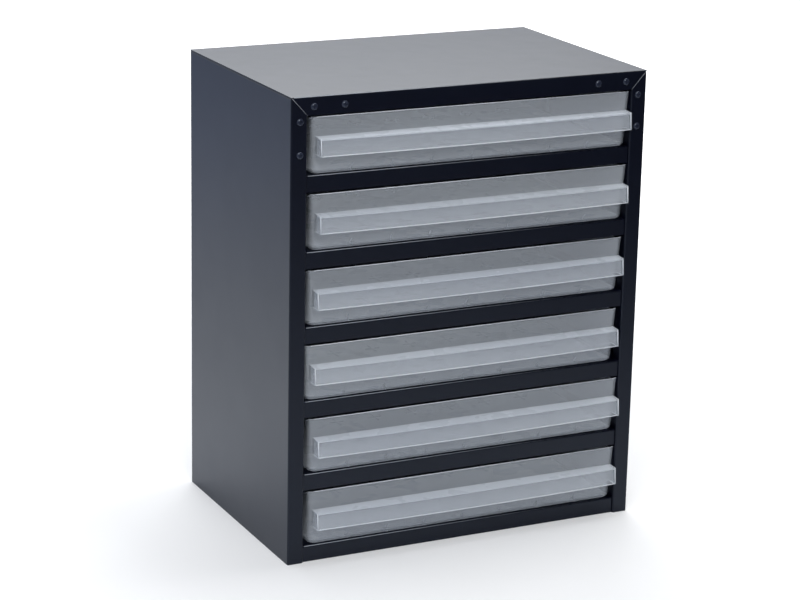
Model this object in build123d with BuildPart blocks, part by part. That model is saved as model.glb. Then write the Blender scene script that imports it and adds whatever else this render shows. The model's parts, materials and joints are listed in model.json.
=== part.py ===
from build123d import *
import math
import os

# Parts bin cabinet: a folded steel casing with a column of moulded drawer trays.
# Frame: +Z up, the front faces -Y, origin at the bottom centre of the overall box.
# All lengths are millimetres.

# ---------------------------------------------------------------- casing
cabinet_width = 359.0
cabinet_height = 435.0
body_depth = 239.0            # face of the posts to the back of the rear flanges
ledge_projection = 14.5       # how far the middle of a grip ledge stands in front of the posts
drawer_count = 6

sheet = 0.8                   # steel thickness
bend_radius = 1.6             # outside radius of a folded edge
post_width = 15.6             # front flange of a side panel
post_return = 12.0            # fold that goes back from the post's inner edge
rear_flange = 13.0            # rear fold of a side panel
edge_fold = 12.0              # inward folds along a side panel's top and bottom
top_flange = 17.0             # front flange of the top panel
top_hem = 6.0                 # fold that goes back from the top flange's lower edge
top_rear_flange = 12.0        # fold at the top panel's back edge
mitre_gap = 0.3               # between the top flange and a post
panel_gap = 0.3               # between neighbouring sheet parts

# ---------------------------------------------------------------- shelves
bottom_rail = 15.4            # height of the lowest rail, from the floor
rail_height = 15.4            # front flange of a shelf
rail_recess = 2.0             # rail face behind the face of the posts
rail_hem = 8.0                # fold that goes back from a rail's lower edge
shelf_flange = 10.0           # side and rear flanges of a shelf
guide_height = 8.0            # tabs lanced up from the shelf beside the tray
guide_length = 30.0
guide_inset = 45.0            # from the ends of the shelf to a tab's middle

# ---------------------------------------------------------------- corner brackets and rivets
bracket_thickness = 1.5
bracket_arm = 60.0            # length of each arm
bracket_gap = 0.4             # from the bracket to the folds around it
rivet_head_radius = 3.4
rivet_head_height = 1.5
rivet_dimple_radius = 1.2
rivet_dimple_depth = 0.7
rivet_shank_radius = 1.6
rivet_bulb_radius = 2.3
rivet_bulb_length = 3.0
rivet_hole_clearance = 0.05
top_rivet_inset = (22.0, 51.5)    # from the cabinet's side, along the top flange
top_rivet_drop = 9.3              # below the cabinet's top
post_rivet_inset = 8.7            # from the cabinet's side
post_rivet_drop = (22.3, 52.0)    # below the cabinet's top
rear_rivet_inset = 7.0            # from the cabinet's side; one rivet to a drawer bay
rear_rivet_rise = 30.0            # above the shelf of that bay

# ---------------------------------------------------------------- wall holes in the back panel
wall_hole_radius = 3.5
wall_hole_spacing = 250.0
wall_hole_drop = 35.0             # below the cabinet's top

# ---------------------------------------------------------------- drawer trays
tray_wall = 1.8
tray_draft = 1.9              # degrees, all four walls lean outwards
tray_foot_corner = 8.5        # radius of the vertical corners at the bottom
tray_rim_corner = 5.0         # radius of the vertical corners at the rim
tray_bottom_radius = 4.5      # around the outside of the floor
tray_clear_below = 0.4
tray_clear_above = 2.0
tray_clear_side = 2.5         # rim to post, and wall to guide tab, each side
tray_clear_rear = 5.0         # rim to back panel
tray_front_set = 0.1          # rim of the front wall behind the face of the posts
tray_rest = (1.5, 1.7, 0.2, -1.9, 2.1, 2.2)   # where each tray sits in its side play, from the top
side_rim_drop = 3.0           # side and rear walls are lower than the front wall
side_rim_start = 3.0          # where the rim starts to drop, behind the front rim
side_rim_run = 5.0            # how far the rim takes to drop

ledge_end_set = 4.1           # end of the grip ledge inside the rim's side
ledge_bow = 2.8               # its middle in front of its ends
ledge_root_height = 35.3      # top of the ledge at the wall, above the shelf
ledge_ridge_height = 34.3     # top of the ledge at its front edge
ledge_lip_bottom = 18.8       # lower edge of the lip, above the shelf
ledge_ridge_set = 1.5         # ridge behind the lip's lower edge
ledge_ridge_radius = 2.2
ledge_end_rise = 1.0          # lower edge of an end cheek rises towards the wall
ledge_wall = 1.8
cheek_thickness = 1.6
cheek_proud = 0.35            # cheek above the ledge's ridge
cheek_corner_radius = 0.8

mark_columns = 7              # cross ribs on the tray floor that locate dividers
mark_rows = 3
mark_pitch = 40.0
mark_width = 14.0             # arm across the tray
mark_depth = 18.0             # arm along the tray
mark_thickness = 1.2
mark_height = 1.6
foot_rib_height = 6.0         # small ribs in the corner of floor and front wall
foot_rib_depth = 6.0

ear_catch = 2.0               # stop ears overlap the rail above by this much
ear_length = 14.0
ear_margin = 0.1              # ear faces inside the wall's own faces
drawer_travel = 190.0
stop_clearance = 0.3          # left between ear and rail at full travel

# ---------------------------------------------------------------- worked-out places
half_width = cabinet_width / 2
overall_depth = ledge_projection + body_depth + rivet_head_height
front_y = -overall_depth / 2 + ledge_projection
back_y = front_y + body_depth
side_top = cabinet_height - sheet
post_inner = half_width - post_width
opening_top = cabinet_height - top_flange
rails_between = (drawer_count - 1) * rail_height
opening_height = (opening_top - bottom_rail - rails_between) / drawer_count
drawer_pitch = opening_height + rail_height
shelf_levels = [bottom_rail + i * drawer_pitch for i in range(drawer_count)]
rail_y = front_y + rail_recess
back_panel_y = back_y - 2 * sheet     # inner face of the back panel

draft_tan = math.tan(math.radians(tray_draft))
tray_height = opening_height - tray_clear_below - tray_clear_above
rim_half_width = post_inner - tray_clear_side
rim_front = front_y + tray_front_set
rim_rear = back_panel_y - tray_clear_rear
base_half_width = rim_half_width - tray_height * draft_tan
base_front = rim_front + tray_height * draft_tan
base_rear = rim_rear - tray_height * draft_tan
ledge_half_length = rim_half_width - ledge_end_set
bow_radius = (ledge_half_length ** 2 + ledge_bow ** 2) / (2 * ledge_bow)
guide_x = base_half_width + guide_height * draft_tan + tray_clear_side
ear_front = max(rail_y + rail_hem, front_y + top_hem) + drawer_travel + stop_clearance

os.makedirs("parts", exist_ok=True)


def save(part, label):
    part.label = label
    export_step(part, "parts/" + label + ".step")


def raised(part, level):
    """Copy of a part moved up to a shelf level."""
    return part.moved(Location((0, 0, level)))


def mitre_x(z):
    """Half-width of the mitre line at height z, from the outer top corner to the opening's corner."""
    return half_width - post_width * (cabinet_height - z) / top_flange


# ================================================================ rivets
def make_rivet(grip):
    """Blind rivet on the Y axis: head towards -Y with its seat at y = 0, bulb behind the grip."""
    with BuildPart() as rivet:
        with BuildSketch(Plane.XY):
            with BuildLine():
                floor_y = rivet_dimple_depth - rivet_head_height
                Polyline((0, floor_y), (rivet_dimple_radius, floor_y), (rivet_dimple_radius, -rivet_head_height))
                shoulder = ((rivet_dimple_radius + rivet_head_radius) / 2 + rivet_head_height / 3,
                            -rivet_head_height * 0.72)
                ThreePointArc((rivet_dimple_radius, -rivet_head_height), shoulder, (rivet_head_radius, 0))
                Polyline((rivet_head_radius, 0), (rivet_shank_radius, 0), (rivet_shank_radius, grip),
                         (rivet_bulb_radius, grip), (rivet_bulb_radius, grip + rivet_bulb_length),
                         (0, grip + rivet_bulb_length), (0, floor_y))
            make_face()
        revolve(axis=Axis.Y)
    return rivet.part


front_rivet = make_rivet(sheet + bracket_thickness)
rear_rivet = make_rivet(2 * sheet).rotate(Axis.Z, 180)
rivet_hole_radius = rivet_shank_radius + rivet_hole_clearance

top_rivet_spots = [(half_width - inset, cabinet_height - top_rivet_drop) for inset in top_rivet_inset]
post_rivet_spots = [(half_width - post_rivet_inset, cabinet_height - drop) for drop in post_rivet_drop]
rear_rivet_spots = [(half_width - rear_rivet_inset, level + rear_rivet_rise) for level in shelf_levels]


def drill(spots, y, depth):
    """Rivet holes along Y through the part being built, centred on y, at (x, z) spots."""
    with Locations(*[Location((x, y, z), (90, 0, 0)) for x, z in spots]):
        Cylinder(rivet_hole_radius, depth, mode=Mode.SUBTRACT)


def mirrored(spots):
    return [(-x, z) for x, z in spots]


# ================================================================ side panels
with BuildPart() as side_panel_right:
    with BuildSketch(Plane.XY):
        with Locations((half_width - sheet / 2, (front_y + back_y) / 2)):
            Rectangle(sheet, body_depth)
        with Locations((half_width - post_width / 2, front_y + sheet / 2)):
            Rectangle(post_width, sheet)
        with Locations((post_inner + sheet / 2, front_y + post_return / 2)):
            Rectangle(sheet, post_return)
        with Locations((half_width - rear_flange / 2, back_y - sheet / 2)):
            Rectangle(rear_flange, sheet)
    extrude(amount=side_top)
    # inward folds along the bottom and the top
    for fold_z in (sheet / 2, side_top - sheet / 2):
        with Locations((half_width - edge_fold / 2, (front_y + back_y) / 2, fold_z)):
            Box(edge_fold, body_depth, sheet)
    # rounded folds: front and rear corners, and the top edge that carries the top panel
    outer_edges = side_panel_right.edges().filter_by_position(
        Axis.X, half_width - sheet / 4, half_width + sheet / 4)
    top_fold_edge = outer_edges.filter_by(Axis.Y).sort_by(Axis.Z)[-1]
    post_edge = side_panel_right.edges().filter_by(Axis.Z).filter_by_position(
        Axis.Y, front_y - sheet / 4, front_y + sheet / 4).sort_by(Axis.X)[0]
    fillet(outer_edges.filter_by(Axis.Z) + [top_fold_edge, post_edge], bend_radius)
    # the post's head is cut on the mitre line
    with BuildSketch(Plane.XZ.offset(-front_y + 1)):
        with BuildLine():
            Polyline((half_width, cabinet_height), (post_inner, opening_top), (post_inner - 1, opening_top),
                     (post_inner - 1, cabinet_height), (half_width, cabinet_height))
        make_face()
    extrude(amount=-(post_return + 2), mode=Mode.SUBTRACT)
    drill(post_rivet_spots, front_y, 4 * sheet)
    drill(rear_rivet_spots, back_y, 4 * sheet)
save(side_panel_right.part, "side_panel_right")

with BuildPart() as side_panel_left:
    add(mirror(side_panel_right.part, about=Plane.YZ))
save(side_panel_left.part, "side_panel_left")

# ================================================================ top panel
with BuildPart() as top_panel:
    with Locations((0, (front_y + back_y) / 2, cabinet_height - sheet / 2)):
        Box(cabinet_width, body_depth, sheet)
    with Locations((0, front_y + sheet / 2, cabinet_height - top_flange / 2)):
        Box(cabinet_width, sheet, top_flange)
    # the flange's two ends follow the mitre line down to the opening's corners
    with BuildSketch(Plane.XZ.offset(-front_y + 1)):
        with BuildLine():
            Polyline((half_width + 1, side_top), (mitre_x(side_top) - mitre_gap, side_top),
                     (post_inner - mitre_gap, opening_top), (post_inner - mitre_gap, opening_top - 1),
                     (half_width + 1, opening_top - 1), (half_width + 1, side_top))
        make_face()
        mirror(about=Plane.YZ)
    extrude(amount=-(sheet + 2), mode=Mode.SUBTRACT)
    with Locations((0, front_y + top_hem / 2, opening_top + sheet / 2)):
        Box(2 * (post_inner - panel_gap), top_hem, sheet)
    rear_half = half_width - rear_flange - panel_gap
    with Locations((0, back_y - sheet / 2, cabinet_height - top_rear_flange / 2)):
        Box(2 * rear_half, sheet, top_rear_flange)
    front_bend = top_panel.edges().filter_by(Axis.X).group_by(Axis.Z)[-1].sort_by(Axis.Y)[0]
    fillet(front_bend, bend_radius)
    drill(top_rivet_spots + mirrored(top_rivet_spots), front_y, 4 * sheet)
save(top_panel.part, "top_panel")


# ================================================================ shelves
def make_shelf(rail):
    """Folded shelf whose upper face is at z = 0 and whose front flange is the rail."""
    wide_front = front_y + post_return + panel_gap
    wide_half = half_width - sheet
    neck_half = post_inner - panel_gap
    with BuildPart() as shelf:
        with BuildSketch(Plane.XY.offset(-sheet)):
            with Locations((0, (wide_front + back_panel_y) / 2)):
                Rectangle(2 * wide_half, back_panel_y - wide_front)
            with Locations((0, (rail_y + wide_front) / 2)):
                Rectangle(2 * neck_half, wide_front - rail_y)
        extrude(amount=sheet)
        with Locations((0, rail_y + sheet / 2, -rail / 2)):
            Box(2 * neck_half, sheet, rail)
        with Locations((0, rail_y + rail_hem / 2, sheet / 2 - rail)):
            Box(2 * neck_half, rail_hem, sheet)
        flange_z = -shelf_flange / 2
        for side in (-1, 1):
            with Locations((side * (wide_half - sheet / 2), (wide_front + back_panel_y) / 2, flange_z)):
                Box(sheet, back_panel_y - wide_front, shelf_flange)
        with Locations((0, back_panel_y - sheet / 2, flange_z)):
            Box(2 * wide_half, sheet, shelf_flange)
        # guide tabs, each lanced up out of the window beside it
        guide_spots = [(side, y) for side in (-1, 1)
                       for y in (wide_front + guide_inset, back_panel_y - guide_inset)]
        for side, y in guide_spots:
            window_x = side * (guide_x + sheet + guide_height / 2)
            with Locations((window_x, y, -sheet / 2)):
                Box(guide_height, guide_length, 2 * sheet, mode=Mode.SUBTRACT)
            with Locations((side * (guide_x + sheet / 2), y, (guide_height - sheet) / 2)):
                Box(sheet, guide_length, guide_height + sheet)
        rail_bend = shelf.edges().filter_by(Axis.X).sort_by(Axis.Y)[:4].sort_by(Axis.Z)[-1]
        fillet(rail_bend, bend_radius)
    return shelf.part


save(raised(make_shelf(bottom_rail), shelf_levels[0]), "bottom_shelf")
middle_shelf = make_shelf(rail_height)
for number, level in enumerate(shelf_levels[1:], start=1):
    save(raised(middle_shelf, level), "shelf_" + str(number))

# ================================================================ back panel
back_low = sheet + panel_gap
back_high = side_top - sheet - panel_gap
with BuildPart() as back_panel:
    with Locations((0, back_panel_y + sheet / 2, (back_low + back_high) / 2)):
        Box(2 * (half_width - sheet), sheet, back_high - back_low)
    drill(rear_rivet_spots + mirrored(rear_rivet_spots), back_y, 6 * sheet)
    wall_hole_z = cabinet_height - wall_hole_drop
    with Locations(*[Location((side * wall_hole_spacing / 2, back_panel_y, wall_hole_z), (90, 0, 0))
                     for side in (-1, 1)]):
        Cylinder(wall_hole_radius, 6 * sheet, mode=Mode.SUBTRACT)
save(back_panel.part, "back_panel")

# ================================================================ corner brackets
bracket_high = side_top - sheet - bracket_gap
bracket_low = cabinet_height - bracket_arm
bracket_outer = half_width - sheet - bracket_gap
bracket_inner = half_width - bracket_arm
bracket_sill = opening_top + sheet + bracket_gap
bracket_edge = post_inner + sheet + bracket_gap
with BuildPart() as corner_bracket_right:
    with BuildSketch(Plane.XZ.offset(-(front_y + sheet))):
        with BuildLine():
            Polyline((bracket_inner, bracket_high), (bracket_outer, bracket_high), (bracket_outer, bracket_low),
                     (bracket_edge, bracket_low), (bracket_edge, bracket_sill), (bracket_inner, bracket_sill),
                     (bracket_inner, bracket_high))
        make_face()
    extrude(amount=-bracket_thickness)
    drill(top_rivet_spots + post_rivet_spots, front_y + sheet + bracket_thickness / 2, 3 * bracket_thickness)
save(corner_bracket_right.part, "corner_bracket_right")

with BuildPart() as corner_bracket_left:
    add(mirror(corner_bracket_right.part, about=Plane.YZ))
save(corner_bracket_left.part, "corner_bracket_left")

# ================================================================ rivet groups
for side_name, flip in (("right", list), ("left", mirrored)):
    with BuildPart() as front_rivets:
        with Locations(*[(x, front_y, z) for x, z in flip(top_rivet_spots + post_rivet_spots)]):
            add(front_rivet)
    save(front_rivets.part, "front_rivets_" + side_name)
    with BuildPart() as rear_rivets:
        with Locations(*[(x, back_y, z) for x, z in flip(rear_rivet_spots)]):
            add(rear_rivet)
    save(rear_rivets.part, "rear_rivets_" + side_name)


# ================================================================ drawer trays
def corner_at(z):
    """Radius of the outside's vertical corners at height z above the shelf."""
    return tray_foot_corner + (tray_rim_corner - tray_foot_corner) * (z - tray_clear_below) / tray_height


def tray_block(bottom, inset, edge_radius, top):
    """Drafted block with conical corners, as the tray's outside (inset 0) or its hollow."""
    with BuildPart() as block:
        for z in (bottom, top):
            lean = (z - tray_clear_below) * draft_tan - inset
            with BuildSketch(Plane.XY.offset(z)):
                with Locations((0, (base_front + base_rear) / 2)):
                    RectangleRounded(2 * (base_half_width + lean), base_rear - base_front + 2 * lean,
                                     corner_at(z) - inset)
        loft(ruled=True)
        fillet(block.faces().sort_by(Axis.Z)[0].edges(), edge_radius)
    return block.part


def bowed_bar(profile, corner, corner_radius, half_length, rear_y):
    """Bar with a (y, z) profile at x = 0 that bows forward in plan, cut off in front of rear_y."""
    bow_axis = Axis((0, front_y - ledge_projection + bow_radius, 0), (0, 0, 1))
    with BuildPart() as bar:
        with BuildSketch(Plane.YZ):
            with BuildLine():
                outline = Polyline(*profile, profile[0])
            make_face()
            if corner_radius:
                fillet([v for v in outline.vertices() if abs(v.Y - corner[0]) + abs(v.Z - corner[1]) < 0.01],
                       corner_radius)
        revolve(axis=bow_axis, revolution_arc=math.degrees(math.asin(1.02 * half_length / bow_radius)))
        mirror(about=Plane.YZ)
        with Locations((0, rear_y - cabinet_width / 2, cabinet_height / 2)):
            Box(2 * half_length, cabinet_width, 2 * cabinet_height, mode=Mode.INTERSECT)
    return bar.part


def make_tray():
    """Tray over a shelf whose upper face is at z = 0."""
    base = tray_clear_below
    rim = base + tray_height
    side_rim = rim - side_rim_drop
    floor_top = base + tray_wall
    outside = tray_block(base, 0, tray_bottom_radius, rim)
    hollow = tray_block(floor_top, tray_wall, tray_bottom_radius - tray_wall, rim + 1)
    wall_at_root = rim_front + (rim - ledge_root_height) * draft_tan
    wall_at_lip = rim_front + (rim - ledge_lip_bottom) * draft_tan
    lip_y = front_y - ledge_projection
    ridge_y = lip_y + ledge_ridge_set
    end_lip_y, end_ridge_y = lip_y + ledge_bow, ridge_y + ledge_bow
    ridge = (ridge_y, ledge_ridge_height)
    ledge = bowed_bar([(wall_at_root + tray_wall, ledge_root_height), ridge, (lip_y, ledge_lip_bottom),
                       (wall_at_root + tray_wall, ledge_lip_bottom)],
                      ridge, ledge_ridge_radius, ledge_half_length, wall_at_root + tray_wall)
    under = bowed_bar([(wall_at_root + ledge_bow, ledge_root_height - ledge_wall),
                       (ridge_y + ledge_wall, ledge_ridge_height - ledge_wall),
                       (lip_y + ledge_wall, ledge_lip_bottom - 1), (wall_at_root + ledge_bow, ledge_lip_bottom - 1)],
                      ridge, 0, ledge_half_length - cheek_thickness, wall_at_root)
    with BuildPart() as tray:
        add(outside)
        # the rim drops behind the front wall
        with BuildSketch(Plane.YZ.offset(-half_width)):
            with BuildLine():
                drop_y = rim_front + side_rim_start
                Polyline((drop_y, rim), (drop_y + side_rim_run, side_rim), (back_y, side_rim),
                         (back_y, rim + 1), (drop_y, rim + 1), (drop_y, rim))
            make_face()
        extrude(amount=cabinet_width, mode=Mode.SUBTRACT)
        # grip ledge: a bowed bar, hollowed from below, between two end cheeks
        add(ledge)
        add(under, mode=Mode.SUBTRACT)
        with BuildSketch(*[Plane.YZ.offset(x) for x in (-ledge_half_length, ledge_half_length - cheek_thickness)]):
            with BuildLine():
                cheek_line = Polyline(
                    (wall_at_root + tray_wall, ledge_root_height),
                    (end_ridge_y, ledge_ridge_height + cheek_proud), (end_lip_y, ledge_lip_bottom),
                    (wall_at_lip + tray_wall, ledge_lip_bottom + ledge_end_rise),
                    (wall_at_root + tray_wall, ledge_root_height))
            make_face()
            fillet(cheek_line.vertices().sort_by(Axis.Y)[1], cheek_corner_radius)
        extrude(amount=cheek_thickness)
        add(hollow, mode=Mode.SUBTRACT)
        # cross ribs on the floor, and a short rib at the foot of the front and rear walls
        inner_front = base_front + tray_wall
        inner_rear = base_rear - tray_wall
        row_pitch = (inner_rear - inner_front) / (mark_rows + 1)
        with BuildSketch(Plane.XY.offset(floor_top)):
            with Locations((0, (inner_front + inner_rear) / 2)):
                with GridLocations(mark_pitch, row_pitch, mark_columns, mark_rows):
                    Rectangle(mark_width, mark_thickness)
                    Rectangle(mark_thickness, mark_depth)
        extrude(amount=mark_height)
        for wall_y, inward in ((inner_front, 1), (inner_rear, -1)):
            with BuildSketch(Plane.YZ.offset(-mark_thickness / 2)) as rib_face:
                with BuildLine():
                    start_y = wall_y - inward * tray_wall / 2
                    Polyline((start_y, floor_top - tray_wall / 2), (start_y, floor_top + foot_rib_height),
                             (wall_y, floor_top + foot_rib_height),
                             (wall_y + inward * foot_rib_depth, floor_top),
                             (wall_y + inward * foot_rib_depth, floor_top - tray_wall / 2),
                             (start_y, floor_top - tray_wall / 2))
                make_face()
            rib = extrude(rib_face.sketch, amount=mark_thickness, mode=Mode.PRIVATE)
            with GridLocations(mark_pitch, 0, mark_columns, 1):
                add(rib)
        # stop ears that catch behind the rail above
        ear_top = rim + tray_clear_above + ear_catch
        ear_low = side_rim - tray_wall
        wall_outer = rim_half_width - (rim - ear_low) * draft_tan
        ear_outer = wall_outer - ear_margin
        ear_inner = rim_half_width - side_rim_drop * draft_tan - tray_wall + ear_margin
        for side in (-1, 1):
            with Locations((side * (ear_outer + ear_inner) / 2, ear_front + ear_length / 2,
                            (ear_low + ear_top) / 2)):
                Box(ear_outer - ear_inner, ear_length, ear_top - ear_low)
    return tray.part


tray = make_tray()
for number, level in enumerate(reversed(shelf_levels), start=1):
    resting = tray.moved(Location((tray_rest[(number - 1) % len(tray_rest)], 0, 0)))
    save(raised(resting, level), "drawer_tray_" + str(number))
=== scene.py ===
import json
import math

import bpy
from mathutils import Euler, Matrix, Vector


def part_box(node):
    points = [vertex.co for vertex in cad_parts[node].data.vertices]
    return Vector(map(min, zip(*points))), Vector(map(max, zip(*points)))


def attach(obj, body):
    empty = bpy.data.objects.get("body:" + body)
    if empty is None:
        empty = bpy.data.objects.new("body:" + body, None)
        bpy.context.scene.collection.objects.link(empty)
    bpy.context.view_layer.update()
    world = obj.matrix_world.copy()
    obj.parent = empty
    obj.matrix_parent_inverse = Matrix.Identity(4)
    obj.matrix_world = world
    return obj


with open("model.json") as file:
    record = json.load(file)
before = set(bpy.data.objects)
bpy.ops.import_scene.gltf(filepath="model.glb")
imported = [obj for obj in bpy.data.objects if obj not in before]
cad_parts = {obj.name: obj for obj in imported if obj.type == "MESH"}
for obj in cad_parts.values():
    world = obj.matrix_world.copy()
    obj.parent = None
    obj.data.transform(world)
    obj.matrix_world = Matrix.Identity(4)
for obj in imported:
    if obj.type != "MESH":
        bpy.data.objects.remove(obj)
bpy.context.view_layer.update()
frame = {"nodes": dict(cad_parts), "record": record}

scene = bpy.context.scene
scene.view_settings.view_transform = "Standard"

MM = 0.001
top_low, top_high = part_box("top_panel")
post_face = top_low.y                  # plane of the posts' faces
drawers = sorted(n for n in frame["nodes"] if n.startswith("drawer_tray"))

# ---------------------------------------------------------------- shader nodes


def new_material(name):
    """Node material with its Principled shader; returns the material, its nodes, links and shader."""
    material = bpy.data.materials.new(name)
    material.use_nodes = True
    nodes, links = material.node_tree.nodes, material.node_tree.links
    return material, nodes, links, nodes["Principled BSDF"]


def object_place(nodes):
    """The object's own coordinates, in metres."""
    return nodes.new("ShaderNodeTexCoord").outputs["Object"]


def component(nodes, links, vector, axis):
    """One component of a vector."""
    parts = nodes.new("ShaderNodeSeparateXYZ")
    links.new(vector, parts.inputs["Vector"])
    return parts.outputs[axis]


def combine(nodes, links, operation, *values, clamp=False):
    """Result of a calculation on values that other nodes give."""
    node = nodes.new("ShaderNodeMath")
    node.operation = operation
    node.use_clamp = clamp
    for value, socket in zip(values, node.inputs):
        links.new(value, socket)
    return node.outputs["Value"]


def noise(nodes, links, scale, detail, stretch=(1, 1, 1)):
    """Noise in the object's own coordinates; the scale is in features per metre."""
    mapping = nodes.new("ShaderNodeMapping")
    mapping.inputs["Scale"].default_value = stretch
    texture = nodes.new("ShaderNodeTexNoise")
    texture.inputs["Scale"].default_value = scale
    texture.inputs["Detail"].default_value = detail
    links.new(object_place(nodes), mapping.inputs["Vector"])
    links.new(mapping.outputs["Vector"], texture.inputs["Vector"])
    return texture.outputs["Fac"]


def spread(nodes, links, value, low, high, start=0.35, end=0.65):
    """Maps a value from start..end, by default the usual range of noise, to low..high."""
    node = nodes.new("ShaderNodeMapRange")
    node.inputs["From Min"].default_value = start
    node.inputs["From Max"].default_value = end
    node.inputs["To Min"].default_value = low
    node.inputs["To Max"].default_value = high
    links.new(value, node.inputs["Value"])
    return node.outputs["Result"]


def blend_colours(nodes, links, factor, first, second):
    """Mix of two colours, each given as numbers or by another node."""
    node = nodes.new("ShaderNodeMix")
    node.data_type = "RGBA"
    links.new(factor, node.inputs["Factor"])
    for socket_name, colour in (("A", first), ("B", second)):
        if isinstance(colour, tuple):
            node.inputs[socket_name].default_value = (*colour, 1)
        else:
            links.new(colour, node.inputs[socket_name])
    return node.outputs["Result"]


def bump(nodes, links, height, distance, strength=0.5, normal=None):
    """Normal of a rough surface, laid over another normal where one is given."""
    node = nodes.new("ShaderNodeBump")
    node.inputs["Distance"].default_value = distance
    node.inputs["Strength"].default_value = strength
    links.new(height, node.inputs["Height"])
    if normal is not None:
        links.new(normal, node.inputs["Normal"])
    return node.outputs["Normal"]


# ---------------------------------------------------------------- materials

# noise scales in features per metre, bump depths in metres
PAINT_MOTTLE, PAINT_HAZE, PAINT_PEEL, PAINT_GRAIN = 60, 25, 700, 3000
PEEL_DEPTH, GRAIN_DEPTH, GLOSS_SWING = 0.012 * MM, 0.004 * MM, 0.012
PAINT_IOR, PAINT_TINT = 1.5, (0.85, 0.92, 1.0, 1.0)
ZINC_MOTTLE, ZINC_HAZE, ZINC_GRAIN, ZINC_DEPTH = 220, 90, 1500, 0.02 * MM
PLASTIC_FLOW, PLASTIC_HAZE, PLASTIC_WAVE, WAVE_DEPTH = 10, 40, 120, 0.01 * MM
FLOW_STRETCH = (0.3, 1, 1)
PLASTIC_IOR = 1.49
WALL_SLOPE, FLOOR_SLOPE = 0.5, 0.95    # upright part of the normal, on a wall and on a flat
REAR_START, REAR_END = 0.02, 0.11      # where the pale haze grows toward the rear, as painted light that brightens the rear walls, in metres
REAR_BRIGHTENING, UNEVEN = 0.30, 0.04
# FOLD_HAZE is the scale of a fold's gloss noise; FOLD_LEFT..FOLD_RIGHT is where its painted highlight fades
# from pale to dark, in metres
FOLD_HAZE, FOLD_LEFT, FOLD_RIGHT = 200, -0.15, 0.10


def powder_coat(name, dark, light, gloss):
    """Satin powder coat: orange peel, a faint mottle and slightly uneven gloss."""
    material, nodes, links, shader = new_material(name)
    mottle = spread(nodes, links, noise(nodes, links, PAINT_MOTTLE, 3), 0, 1)
    links.new(blend_colours(nodes, links, mottle, dark, light), shader.inputs["Base Color"])
    haze = noise(nodes, links, PAINT_HAZE, 3)
    roughness = spread(nodes, links, haze, gloss - GLOSS_SWING, gloss + GLOSS_SWING)
    links.new(roughness, shader.inputs["Roughness"])
    peel = bump(nodes, links, noise(nodes, links, PAINT_PEEL, 1), PEEL_DEPTH)
    grain = bump(nodes, links, noise(nodes, links, PAINT_GRAIN, 1), GRAIN_DEPTH, normal=peel)
    links.new(grain, shader.inputs["Normal"])
    shader.inputs["IOR"].default_value = PAINT_IOR
    shader.inputs["Specular Tint"].default_value = PAINT_TINT
    return material


def painted_fold_highlight(name, dark, light):
    """Painted highlight along a fold: a pale colour at its left end that fades to the dark paint toward the
    right.
    """
    material, nodes, links, shader = new_material(name)
    across = component(nodes, links, object_place(nodes), "X")
    fade = spread(nodes, links, across, 1, 0, FOLD_LEFT, FOLD_RIGHT)
    links.new(blend_colours(nodes, links, fade, dark, light), shader.inputs["Base Color"])
    haze = noise(nodes, links, FOLD_HAZE, 2)
    links.new(spread(nodes, links, haze, 0.25, 0.35), shader.inputs["Roughness"])
    return material


def zinc_plate(name, dark, light):
    """Bright zinc with a crystalline mottle."""
    material, nodes, links, shader = new_material(name)
    grain = spread(nodes, links, noise(nodes, links, ZINC_MOTTLE, 4), 0, 1)
    links.new(blend_colours(nodes, links, grain, dark, light), shader.inputs["Base Color"])
    haze = noise(nodes, links, ZINC_HAZE, 3)
    links.new(spread(nodes, links, haze, 0.3, 0.45), shader.inputs["Roughness"])
    pits = bump(nodes, links, noise(nodes, links, ZINC_GRAIN, 2), ZINC_DEPTH, 1.0)
    links.new(pits, shader.inputs["Normal"])
    shader.inputs["Metallic"].default_value = 1.0
    return material


def milky_plastic(name, dark, light, thin, thick):
    """Natural polypropylene: see-through in thin walls and hazier where it lies flat; toward the rear its
    pale haze grows as painted light that brightens the rear walls.
    """
    material, nodes, links, shader = new_material(name)
    flow = noise(nodes, links, PLASTIC_FLOW, 2, FLOW_STRETCH)
    tone = spread(nodes, links, flow, 0, 1)
    links.new(blend_colours(nodes, links, tone, dark, light), shader.inputs["Base Color"])
    normal = nodes.new("ShaderNodeNewGeometry").outputs["Normal"]
    flat = combine(nodes, links, "ABSOLUTE", component(nodes, links, normal, "Z"))
    cover = spread(nodes, links, flat, thin, thick, WALL_SLOPE, FLOOR_SLOPE)
    depth = component(nodes, links, object_place(nodes), "Y")
    # painted light: the plastic turns more opaque and pale toward the rear so that the rear walls read
    # brighter
    rear = spread(nodes, links, depth, 0.0, REAR_BRIGHTENING, REAR_START, REAR_END)
    uneven = spread(nodes, links, flow, 1 - UNEVEN, 1 + UNEVEN)
    total = combine(nodes, links, "ADD", cover, rear)
    links.new(combine(nodes, links, "MULTIPLY", total, uneven, clamp=True), shader.inputs["Alpha"])
    haze = noise(nodes, links, PLASTIC_HAZE, 2)
    links.new(spread(nodes, links, haze, 0.25, 0.32), shader.inputs["Roughness"])
    wave = bump(nodes, links, noise(nodes, links, PLASTIC_WAVE, 1), WAVE_DEPTH)
    links.new(wave, shader.inputs["Normal"])
    shader.inputs["IOR"].default_value = PLASTIC_IOR
    return material


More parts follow.
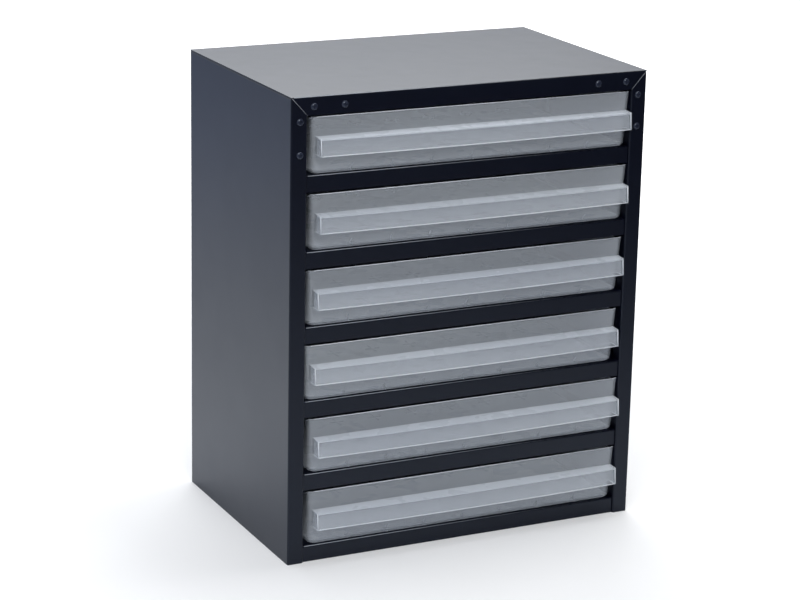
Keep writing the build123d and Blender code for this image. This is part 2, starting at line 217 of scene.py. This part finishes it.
FINISHES = {
    "casing_paint": powder_coat("navy_powder_coat", (0.0018, 0.0026, 0.0090), (0.0022, 0.0032, 0.0105), 0.31),
    # the rivets' navy is about ten times lighter than the casing's: painted light that brightens their heads
    "rivet_paint": powder_coat("rivet_navy_painted_light", (0.020, 0.024, 0.042), (0.024, 0.029, 0.050), 0.20),
    "bracket_zinc": zinc_plate("zinc_plate", (0.42, 0.43, 0.45), (0.6, 0.61, 0.62)),
    "tray_plastic": milky_plastic("milky_polypropylene", (0.80, 0.85, 0.92), (0.84, 0.89, 0.95), 0.22, 0.66),
}
slot_of = {row["node"]: row["material_slot"] for row in frame["record"]["subparts"]}
for node_name, node_object in frame["nodes"].items():
    finish = FINISHES[slot_of[node_name]]
    node_object.data.materials.clear()
    node_object.data.materials.append(finish)

# ---------------------------------------------------------------- small pieces


def mesh_piece(name, points, faces, finish, body):
    """Mesh object that rides on a body."""
    mesh = bpy.data.meshes.new(name)
    mesh.from_pydata(points, [], faces)
    mesh.update()
    mesh.materials.append(finish)
    piece = bpy.data.objects.new(name, mesh)
    scene.collection.objects.link(piece)
    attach(piece, body)
    return piece


def bead(name, path, radius, finish, body, sides=10):
    """Round bead along a path of points, with closed ends."""
    points, faces = [], []
    for i, place in enumerate(path):
        along = (path[min(i + 1, len(path) - 1)] - path[max(i - 1, 0)]).normalized()
        across = along.cross(Vector((0, 1, 0.2))).normalized()     # no path runs this way
        other = along.cross(across)
        for k in range(sides):
            angle = 2 * math.pi * k / sides
            points.append(place + radius * (math.cos(angle) * across + math.sin(angle) * other))
        if i:
            first = (i - 1) * sides
            for k in range(sides):
                after = (k + 1) % sides
                faces.append((first + k, first + after, first + sides + after, first + sides + k))
    faces.append(tuple(range(sides))[::-1])
    faces.append(tuple(range(len(points) - sides, len(points))))
    piece = mesh_piece(name, points, faces, finish, body)
    for face in piece.data.polygons:
        face.use_smooth = len(face.vertices) == 4
    return piece


def straight(half, middle_x, y, z):
    """Three points of a level line from left to right."""
    return [Vector((middle_x + half * t, y, z)) for t in (-1, 0, 1)]


LEDGE_HALF, LEDGE_BOW = 157.3 * MM, 2.8 * MM
LIP_RISE = 18.4 * MM            # lip's lower edge above the tray's underside
LIP_STEPS = 16                  # steps of a lip's line on each side of its middle
CHEEK_RISE = 15.5 * MM          # ridge corner of a cheek above the lip's lower edge
CHEEK_LEAN = 1.5 * MM
CHEEK_MIDDLE = 0.8 * MM         # a cheek's middle inside the ledge's end
RIM_RISE = 51.8 * MM            # front rim above the tray's underside
RIM_HALF = 156.0 * MM           # front rim between its rounded corners
RIM_SET = 1.0 * MM              # its middle behind the face of the posts
BEAD_RADIUS, BEAD_INSET = 0.50 * MM, 0.35 * MM
RIDGE_RADIUS, RIDGE_INSET = 0.45 * MM, 0.85 * MM
RIM_RADIUS = 0.4 * MM
bow_radius = (LEDGE_HALF ** 2 + LEDGE_BOW ** 2) / (2 * LEDGE_BOW)
edge_plastic = milky_plastic("polypropylene_edge", (0.84, 0.88, 0.94), (0.88, 0.91, 0.95), 0.80, 0.80)
for node_name in drawers:
    low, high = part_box(node_name)
    middle_x, lip_y, lip_z = (low.x + high.x) / 2, low.y + BEAD_INSET, low.z + LIP_RISE + BEAD_INSET
    reach = LEDGE_HALF - CHEEK_MIDDLE
    lip_line = []
    for k in range(2 * LIP_STEPS + 1):
        x = reach * (k / LIP_STEPS - 1)
        bow = bow_radius - math.sqrt(bow_radius ** 2 - x * x)
        lip_line.append(Vector((middle_x + x, lip_y + bow, lip_z)))
    to_ridge = Vector((0, CHEEK_LEAN, CHEEK_RISE))
    to_fold = to_ridge + Vector((0, RIDGE_INSET - BEAD_INSET, -RIDGE_INSET - BEAD_INSET))
    rim_line = straight(RIM_HALF, middle_x, post_face + RIM_SET, low.z + RIM_RISE)
    number = node_name.rsplit("_", 1)[1]
    runs = {"lip": (lip_line, BEAD_RADIUS), "ridge": ([p + to_fold for p in lip_line], RIDGE_RADIUS),
            "rim": (rim_line, RIM_RADIUS)}
    for side, foot in (("left", lip_line[0]), ("right", lip_line[-1])):
        runs["cheek_" + side] = ([foot, foot + to_ridge / 2, foot + to_ridge], BEAD_RADIUS)
    for run, (line, radius) in runs.items():
        bead(run + "_bead_" + number, line, radius, edge_plastic, "drawer_" + number)

FOLD_BEAD, FOLD_INSET = 0.35 * MM, 0.52 * MM    # radius, and its middle inside the fold's outer corner
RAIL_SET, RAIL_HALF = 2.0 * MM, 162.0 * MM      # a rail's face behind the posts, half its seen length
TRAY_REST = 0.4 * MM                            # a tray's underside above the top of its shelf
FOLD_TOP_END = 3 * MM                           # end of the top fold's bead inside the casing's side
# the fold beads carry a painted highlight: pale at each fold's left end, fading to navy toward the right
fold_highlight_paint = painted_fold_highlight("fold_highlight_paint", (0.004, 0.005, 0.012), (0.42, 0.45, 0.50))
folds = {"fold_top": (post_face, top_high.z, top_high.x - FOLD_TOP_END)}
for node_name in drawers:
    shelf_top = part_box(node_name)[0].z - TRAY_REST
    folds["fold_rail_" + node_name.rsplit("_", 1)[1]] = (post_face + RAIL_SET, shelf_top, RAIL_HALF)
for name, (fold_y, fold_z, half) in folds.items():
    line = straight(half, 0, fold_y + FOLD_INSET, fold_z - FOLD_INSET)
    bead(name, line, FOLD_BEAD, fold_highlight_paint, "cabinet")

POST_WIDTH, TOP_FLANGE = 15.6 * MM, 17.0 * MM
SEAM_INSET, SEAM_RADIUS = 1.2 * MM, 0.3 * MM
# a pale grey line along each mitre seam
seam_paint = powder_coat("pale_seam_line", (0.16, 0.17, 0.19), (0.20, 0.21, 0.23), 0.30)
for side, name in ((-1, "left"), (1, "right")):
    outer_z = top_high.z - SEAM_INSET * TOP_FLANGE / POST_WIDTH
    outer = Vector((side * (top_high.x - SEAM_INSET), post_face, outer_z))
    inner = Vector((side * (top_high.x - POST_WIDTH), post_face, top_high.z - TOP_FLANGE))
    line = [outer, (outer + inner) / 2, inner]
    bead("mitre_seam_" + name, line, SEAM_RADIUS, seam_paint, "cabinet")

# ---------------------------------------------------------------- floor, light and camera

FLOOR_RADIUS = 4.0
POOL_CENTRE, POOL_REACH = (-0.4, 0.2, 0), (0.15, 1.8)     # a painted pool of light on the floor, in metres
POOL_TONE = (0.84, 0.87, 0.92)
FRONT_TONE, BEHIND_TONE = (0.010, 0.012, 0.020), (0.40, 0.47, 0.66)     # the floor out of the pool: painted shade in front, painted light behind
BEHIND_REACH = (0.0, 1.4)
PAPER_DARK, PAPER_LIGHT, PAPER_SCALE = (0.87, 0.87, 0.87), (0.89, 0.89, 0.89), 3
GLOW, GLOW_REACH = (0.10, 0.75), (0.4, 1.6)               # seen by a viewer only
BRIGHT_SIDE = (-0.6, 0.8, 0)                              # where the room is brightest
ROOM_TONE, ROOM_STRENGTH, ROOM_REACH = (0.84, 0.89, 0.98), (0.10, 0.80), (-0.4, 0.55)
WHITE = (1, 1, 1)


def distance_from(nodes, links, centre):
    """Distance in metres from a point of the floor."""
    away = nodes.new("ShaderNodeVectorMath")
    away.operation = "DISTANCE"
    away.inputs[1].default_value = centre
    links.new(object_place(nodes), away.inputs[0])
    return away.outputs["Value"]


def floor_material():
    """Pale paper floor: a viewer sees it white with its shadow; to other rays its colour is a painted pool of
    light that fades into painted shade in front and painted light behind.
    """
    material, nodes, links, shader = new_material("floor_paper")
    viewer = nodes.new("ShaderNodeLightPath").outputs["Is Camera Ray"]
    tone = spread(nodes, links, noise(nodes, links, PAPER_SCALE, 3), 0, 1)
    paper = blend_colours(nodes, links, tone, PAPER_DARK, PAPER_LIGHT)
    # painted light: to other rays the floor is pale in a pool and dark in front or bluish behind away from it
    near = spread(nodes, links, distance_from(nodes, links, POOL_CENTRE), 1, 0, *POOL_REACH)
    back = component(nodes, links, object_place(nodes), "Y")
    behind = spread(nodes, links, back, 0, 1, *BEHIND_REACH)
    distant = blend_colours(nodes, links, behind, FRONT_TONE, BEHIND_TONE)
    room = blend_colours(nodes, links, near, distant, POOL_TONE)
    links.new(blend_colours(nodes, links, viewer, room, paper), shader.inputs["Base Color"])
    glow = spread(nodes, links, distance_from(nodes, links, (0, 0, 0)), *GLOW, *GLOW_REACH)
    links.new(combine(nodes, links, "MULTIPLY", glow, viewer), shader.inputs["Emission Strength"])
    shader.inputs["Emission Color"].default_value = (*WHITE, 1)
    shader.inputs["Roughness"].default_value = 0.9
    shader.inputs["Specular IOR Level"].default_value = 0.1
    return material


def make_floor():
    bpy.ops.mesh.primitive_circle_add(vertices=96, radius=FLOOR_RADIUS, fill_type="NGON", location=(0, 0, 0))
    floor = bpy.context.object
    floor.name = "floor"
    floor.data.materials.append(floor_material())


def make_world():
    """White where a viewer sees it; as light it is bright behind the cabinet and dim in front."""
    world = bpy.data.worlds.new("studio")
    scene.world = world
    world.use_nodes = True
    nodes, links = world.node_tree.nodes, world.node_tree.links
    background = nodes["Background"]
    viewer = nodes.new("ShaderNodeLightPath").outputs["Is Camera Ray"]
    side = nodes.new("ShaderNodeVectorMath")
    side.operation = "DOT_PRODUCT"
    side.inputs[1].default_value = BRIGHT_SIDE
    links.new(nodes.new("ShaderNodeTexCoord").outputs["Generated"], side.inputs[0])
    light = spread(nodes, links, side.outputs["Value"], *ROOM_STRENGTH, *ROOM_REACH)
    strength = nodes.new("ShaderNodeMix")
    links.new(viewer, strength.inputs["Factor"])
    links.new(light, strength.inputs["A"])
    strength.inputs["B"].default_value = 1.0
    links.new(strength.outputs["Result"], background.inputs["Strength"])
    links.new(blend_colours(nodes, links, viewer, ROOM_TONE, WHITE), background.inputs["Color"])


def area_light(name, place, size, power):
    """Square soft box at a place, facing the middle of the casing."""
    data = bpy.data.lights.new(name, "AREA")
    data.shape = "SQUARE"
    data.size = size
    data.energy = power
    lamp = bpy.data.objects.new(name, data)
    scene.collection.objects.link(lamp)
    lamp.location = place
    to_casing = Vector((0, 0, top_high.z / 2)) - Vector(place)
    lamp.rotation_euler = to_casing.to_track_quat("-Z", "Y").to_euler()


CAMERA_LENS, CAMERA_SENSOR = 114.211, 36                  # in millimetres
CAMERA_PLACE = (-1.0458, post_face - 1.97725, 0.8852)
CAMERA_TURN = (73.704, -1.158, -25.916)                   # in degrees


def make_camera():
    """The photograph's own view: worked out from the casing's six visible corners."""
    data = bpy.data.cameras.new("camera")
    data.sensor_width = CAMERA_SENSOR
    data.lens = CAMERA_LENS
    camera = bpy.data.objects.new("camera", data)
    scene.collection.objects.link(camera)
    camera.location = CAMERA_PLACE
    camera.rotation_euler = Euler([math.radians(a) for a in CAMERA_TURN])
    scene.camera = camera


make_floor()
make_world()
area_light("key", (-0.9, -1.6, 2.4), 1.6, 32)
area_light("front_low", (-0.35, -1.9, 1.45), 0.8, 11)
area_light("back_top", (0.6, 1.9, 2.0), 1.8, 34)
area_light("overhead", (0.7, 0.1, 2.3), 0.9, 16)
make_camera()
